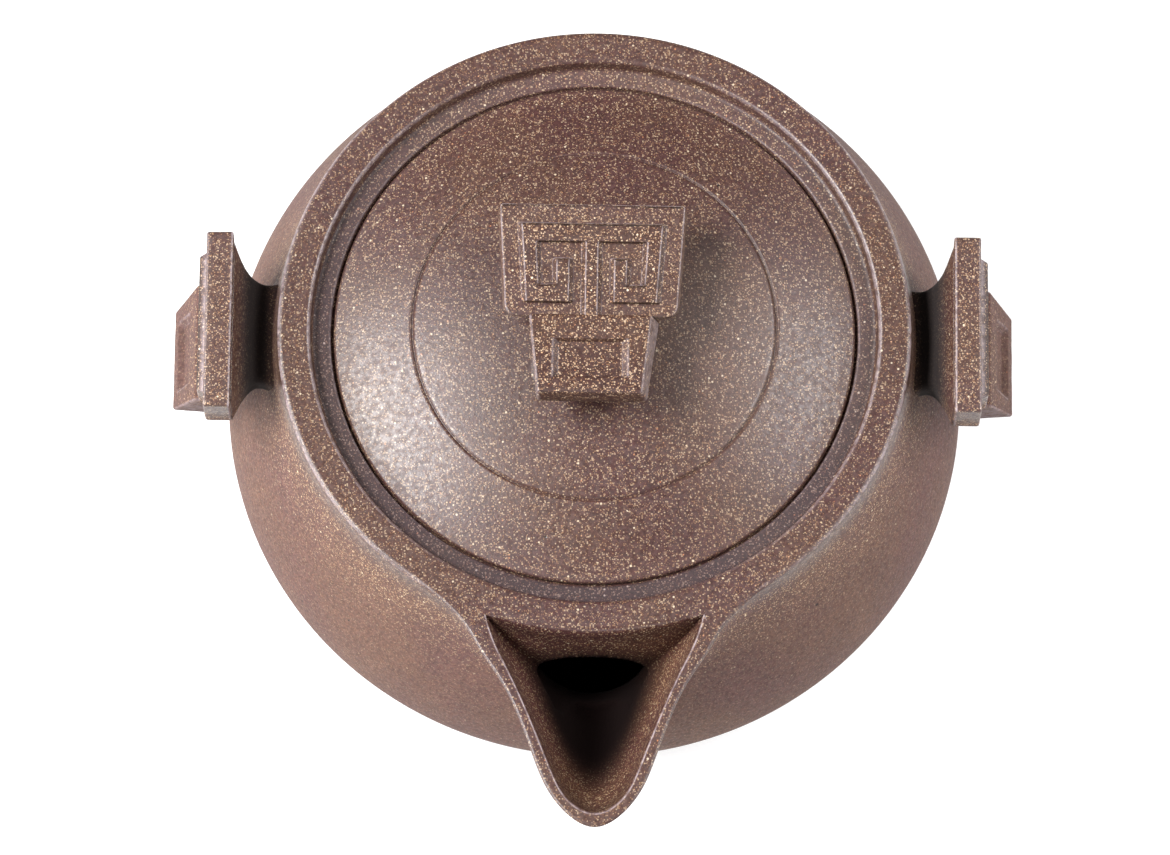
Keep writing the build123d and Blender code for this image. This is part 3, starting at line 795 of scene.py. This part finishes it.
def clay(name, base, warm, speck_share, glint, roughness, flank_fade, ior=1.5):
    """Unglazed sanded clay: mottled ground, fine pale and golden grains, pinholes and iron stains.
    Three
    attributes paint colour in: a greyer tone with painted shade on the ledge; painted shade in the
    hole, the channel and the necks' roots; and, along edges, painted highlights where the mark is above
    zero and painted shade where it is below zero."""
    mat = bpy.data.materials.new(name)
    mat.use_nodes = True
    nt = mat.node_tree
    nodes, links = nt.nodes, nt.links
    nodes.clear()

    def node(kind, **inputs):
        made = nodes.new(kind)
        for key, value in inputs.items():
            made.inputs[key.replace("_", " ")].default_value = value
        return made

    def math_node(op, a, b=None, clamp=False):
        made = nodes.new("ShaderNodeMath")
        made.operation = op
        made.use_clamp = clamp
        for i, v in enumerate((a, b)):
            if v is None:
                continue
            if isinstance(v, (int, float)):
                made.inputs[i].default_value = v
            else:
                links.new(v, made.inputs[i])
        return made.outputs[0]

    def remap(value, low, high, to_low=0.0, to_high=1.0):
        made = nodes.new("ShaderNodeMapRange")
        made.interpolation_type = "SMOOTHSTEP"
        links.new(value, made.inputs["Value"])
        for key, v in zip(("From Min", "From Max", "To Min", "To Max"), (low, high, to_low, to_high)):
            made.inputs[key].default_value = v
        return made.outputs[0]

    def mix(factor, a, b, mode="MIX"):
        made = nodes.new("ShaderNodeMix")
        made.data_type = "RGBA"
        made.blend_type = mode
        made.clamp_factor = True
        for key, v in ((0, factor), (6, a), (7, b)):
            if isinstance(v, (int, float)):
                made.inputs[key].default_value = v
            elif isinstance(v, tuple):
                made.inputs[key].default_value = (*v, 1.0)
            else:
                links.new(v, made.inputs[key])
        return made.outputs[2]

    def noise(scale, detail=2.0, rough=0.5, vector=None):
        made = node("ShaderNodeTexNoise", Scale=scale, Detail=detail, Roughness=rough)
        links.new(vector or coord, made.inputs["Vector"])
        return made

    def cells(scale, vector=None):
        """Distance to the nearest cell's centre, and three random numbers of that cell."""
        made = node("ShaderNodeTexVoronoi", Scale=scale)
        links.new(vector or coord, made.inputs["Vector"])
        pick = nodes.new("ShaderNodeSeparateColor")
        links.new(made.outputs["Color"], pick.inputs[0])
        return made.outputs["Distance"], pick.outputs

    def spots(scale, outer, inner, share, vector=None):
        """Round spots in a share of the cells."""
        distance, pick = cells(scale, vector)
        spot = remap(distance, outer, inner)
        return math_node("MULTIPLY", spot, math_node("LESS_THAN", pick[0], share))

    def mark(name):
        made = nodes.new("ShaderNodeAttribute")
        made.attribute_name = name
        return made.outputs["Fac"]

    coord = nodes.new("ShaderNodeTexCoord").outputs["Object"]
    split = nodes.new("ShaderNodeSeparateXYZ")
    links.new(coord, split.inputs[0])

    broad = remap(noise(55, 3, 0.55).outputs["Fac"], 0.36, 0.64)
    colour = mix(broad, base, warm)
    patch = remap(noise(210, 3, 0.6).outputs["Fac"], 0.35, 0.65)
    colour = mix(math_node("MULTIPLY", patch, 0.35), colour, tuple(c * 0.72 for c in base))
    grain = noise(2600, 2, 0.6).outputs["Fac"]
    value = remap(grain, 0.3, 0.7, 0.72, 1.28)
    grey = nodes.new("ShaderNodeCombineColor")
    for i in range(3):
        links.new(value, grey.inputs[i])
    colour = mix(1.0, colour, grey.outputs[0], "MULTIPLY")

    fade = remap(split.outputs["Z"], 0.026, 0.041, flank_fade, 1.0)
    for scale, share, size, strength, grains in (
        (5400, speck_share, 0.52, 0.66, SANDS),
        (2500, speck_share * 0.13, 0.32, 0.8, GRITS),
    ):
        tints = [tuple(c * glint for c in grain_colour) for grain_colour in grains]
        distance, pick = cells(scale)
        chosen = math_node("LESS_THAN", pick[0], share)
        radius = math_node("MULTIPLY", math_node("ADD", pick[1], 0.35), size)
        near = math_node("SUBTRACT", radius, distance)
        mask = math_node("MULTIPLY", math_node("MULTIPLY", near, 6.0, True), chosen)
        mask = math_node("MULTIPLY", mask, fade)
        tint = mix(pick[2], tints[0], tints[1])
        tint = mix(remap(pick[1], 0.7, 0.95), tint, tints[2])
        colour = mix(math_node("MULTIPLY", mask, strength), colour, tint)

    warp = noise(340, 3, 0.6)
    shifted = nodes.new("ShaderNodeVectorMath")
    shifted.operation = "MULTIPLY_ADD"
    links.new(warp.outputs["Color"], shifted.inputs[0])
    shifted.inputs[1].default_value = (0.004, 0.004, 0.004)
    links.new(coord, shifted.inputs[2])
    iron = spots(62, 0.17, 0.04, 0.055, shifted.outputs[0])
    colour = mix(math_node("MULTIPLY", iron, 0.55), colour, IRON_RED)
    pits = spots(330, 0.085, 0.05, 0.05)
    colour = mix(math_node("MULTIPLY", pits, 0.85), colour, PIT_BLACK)

    # painted light: the flank below the rim is lighter and warmer than the top
    flank = remap(split.outputs["Z"], 0.0416, 0.036)
    colour = mix(flank, colour, mix(1.0, colour, FLANK_PAINTED_LIGHT, "MULTIPLY"))
    painted_shade, ledge_tint_shade = mark("painted_shade"), mark("ledge_tint_shade")
    # the ledge's greyer tone and painted shade
    colour = mix(ledge_tint_shade, colour, mix(1.0, colour, LEDGE_TINT_SHADE_GAIN, "MULTIPLY"))
    # painted shade of the hole, the channel and the necks' roots
    colour = mix(painted_shade, colour, PAINTED_SHADE_BLACK)
    # painted edge lighting: pale highlights where the mark is above zero, painted shade where it is
    # below
    ragged = remap(noise(1100, 3).outputs["Fac"], 0.35, 0.6, 0.3, 1.0)
    edge_lighting = math_node("MULTIPLY", mark("edge_lighting"), ragged)
    colour = mix(edge_lighting, colour, PAINTED_EDGE_HIGHLIGHT)
    colour = mix(math_node("MULTIPLY", edge_lighting, -1.0), colour, PAINTED_EDGE_SHADE)

    swell = math_node("MULTIPLY", noise(900, 2).outputs["Fac"], 0.2)
    height = math_node("ADD", math_node("MULTIPLY", grain, 0.6), swell)
    height = math_node("SUBTRACT", height, math_node("MULTIPLY", pits, 2.0))
    bump = node("ShaderNodeBump", Strength=0.35, Distance=0.00012)
    links.new(height, bump.inputs["Height"])

    shader = nodes.new("ShaderNodeBsdfPrincipled")
    links.new(colour, shader.inputs["Base Color"])
    uneven = noise(1500, 2).outputs["Fac"]
    dull = remap(uneven, 0.3, 0.7, roughness - 0.06, roughness + 0.08)
    dull = math_node("ADD", dull, math_node("MULTIPLY", painted_shade, 0.5))
    dull = math_node("ADD", dull, math_node("MULTIPLY", ledge_tint_shade, 0.2))
    dull = math_node("ADD", dull, math_node("MULTIPLY", flank, 0.4), True)
    links.new(dull, shader.inputs["Roughness"])
    links.new(bump.outputs["Normal"], shader.inputs["Normal"])
    shader.inputs["IOR"].default_value = ior
    out = nodes.new("ShaderNodeOutputMaterial")
    links.new(shader.outputs[0], out.inputs["Surface"])
    return mat


BODY = ((0.046, 0.0190, 0.0175), (0.054, 0.0250, 0.018), 0.60, 1.2)
body_clay = clay("clay", *BODY, 0.40, 0.2)
channel_clay = clay("channel_clay", *BODY, 0.55, 0.2, 1.2)
plate_clay = clay("plate_clay", (0.050, 0.0225, 0.020), (0.058, 0.0275, 0.020), 0.70, 1.5, 0.42, 0.25)
relief_clay = clay("raised_clay", (0.040, 0.016, 0.013), (0.051, 0.023, 0.015), 0.62, 1.85, 0.42, 0.25)
snout_clay = clay("snout_clay", (0.049, 0.0235, 0.0215), (0.055, 0.0280, 0.0225), 0.45, 1.2, 0.5, 0.15)

# --- the pieces ------------------------------------------------------------------------------------

pot = build_pot(body_clay)
cut_hole(pot)
paint_channel_shade(pot, channel_clay)
build_lid(body_clay)
build_flange(body_clay)

ear_turn = math.radians(0.6)
c, s = math.cos(ear_turn), math.sin(ear_turn)
left_at, right_at = (-EAR_FACE_X - 0.2, 0.55, EAR_TOP_Z), (EAR_FACE_X - 0.1, -0.25, EAR_TOP_Z)
masks = [
    Mask("ear_left", "pot", left_at, (-s, -c, 0), (0, 0, -1), (-c, s, 0)),
    Mask("ear_right", "pot", right_at, (s, c, 0), (0, 0, -1), (c, -s, 0)),
]
EAR_NECK = [(0, 21.4, 8.9, 0.6), (0.9, 17.4, 9.4, 3.2), (2.0, 14.2, 10.2, 5.4)]
EAR_NECK += [(3.2, 12.9, 11.0, 6.9), (5.6, 14.0, 12.8, 8.0)]
for ear, aside in zip(masks, (-0.7, 0.5)):
    build_plate(ear, EAR_PLATE_H, EAR_PLATE_T, 2.4, 0.15, 0.6, 0.0, 0.0, plate_clay)
    build_fret(ear, EAR_PLATE_H, 0.9, relief_clay)
    build_snout(ear, EAR_PLATE_H - 0.2, EAR_PLATE_H + 7.2, (-2.2, -0.2), (1.5, 4.6), 0.0, snout_clay)
    levels = [(EAR_PLATE_T - 0.02 + level[0], *level[1:]) for level in EAR_NECK]
    build_neck(ear, levels, ear.name + "_bracket", aside, body_clay)

knob_turn = math.radians(0.9)
c, s = math.cos(knob_turn), math.sin(knob_turn)
knob = Mask("knob", "lid", (-0.2, KNOB_TOP_Y + 0.2, KNOB_Z), (c, -s, 0), (-s, -c, 0), (0, 0, 1))
build_plate(knob, PLATE_H, PLATE_T, 1.8, 0.55, 0.0, 0.25, 0.42, plate_clay)
build_fret(knob, PLATE_H, 0.7, relief_clay)
build_snout(knob, PLATE_H - 0.15, PLATE_H + 10.05, (-2.7, -1.6), (0.72, 1.5), 0.2, relief_clay)
STEM = [(2.98, 14.4, 22.3, 3.7), (3.8, 12.4, 20.3, 5.3), (4.9, 11.0, 18.7, 6.5), (8.4, 11.0, 18.3, 6.5)]
# the stem gets the same painted shade under the plate
build_neck(knob, STEM, "knob_stem", 0.0, body_clay)

# --- floor, light and camera -----------------------------------------------------------------------

bpy.ops.mesh.primitive_plane_add(size=6, location=(0, 0, 0))
floor = bpy.context.object
floor.name = "floor"
paper = bpy.data.materials.new("paper")
paper.use_nodes = True
shader = paper.node_tree.nodes["Principled BSDF"]
shader.inputs["Base Color"].default_value = (0.45, 0.45, 0.45, 1)
shader.inputs["Roughness"].default_value = 0.9
shader.inputs["Emission Color"].default_value = (1, 1, 1, 1)
shader.inputs["Emission Strength"].default_value = 0.62
floor.data.materials.append(paper)


AIM = (0, 0, 0.03)


def soft_box(name, place_at, size, power):
    data = bpy.data.lights.new(name, "AREA")
    data.shape = "RECTANGLE"
    data.size, data.size_y = size
    data.energy = power
    light = bpy.data.objects.new(name, data)
    bpy.context.scene.collection.objects.link(light)
    light.location = place_at
    light.rotation_euler = (Vector(AIM) - Vector(place_at)).to_track_quat("-Z", "Y").to_euler()


soft_box("left_box", (-0.60, 0.0, 0.83), (0.58, 0.30), 21.5)
soft_box("right_box", (0.63, 0.13, 0.80), (0.56, 0.32), 9.3)
soft_box("left_side", (-0.95, -0.25, 0.28), (0.9, 0.36), 13.5)
soft_box("right_side", (0.95, -0.15, 0.28), (0.9, 0.36), 6.5)
soft_box("front_fill", (0.05, -0.95, 0.55), (0.5, 0.3), 2.5)

world = bpy.data.worlds.new("studio")
bpy.context.scene.world = world
world.use_nodes = True
background = world.node_tree.nodes["Background"]
background.inputs["Color"].default_value = (0.95, 0.97, 1, 1)
background.inputs["Strength"].default_value = 0.03
bpy.context.scene.view_settings.view_transform = "Standard"

ELEVATION = 71.8
camera_data = bpy.data.cameras.new("camera")
camera_data.sensor_width = 36
camera_data.lens = 251.75
camera = bpy.data.objects.new("camera", camera_data)
bpy.context.scene.collection.objects.link(camera)
target = Vector((-1.15, -12.75, RIM_Z)) * MM
tilt = math.radians(ELEVATION)
camera.location = target + Vector((0, -math.cos(tilt), math.sin(tilt)))
camera.rotation_euler = (math.pi / 2 - tilt, 0, 0)
bpy.context.scene.camera = camera
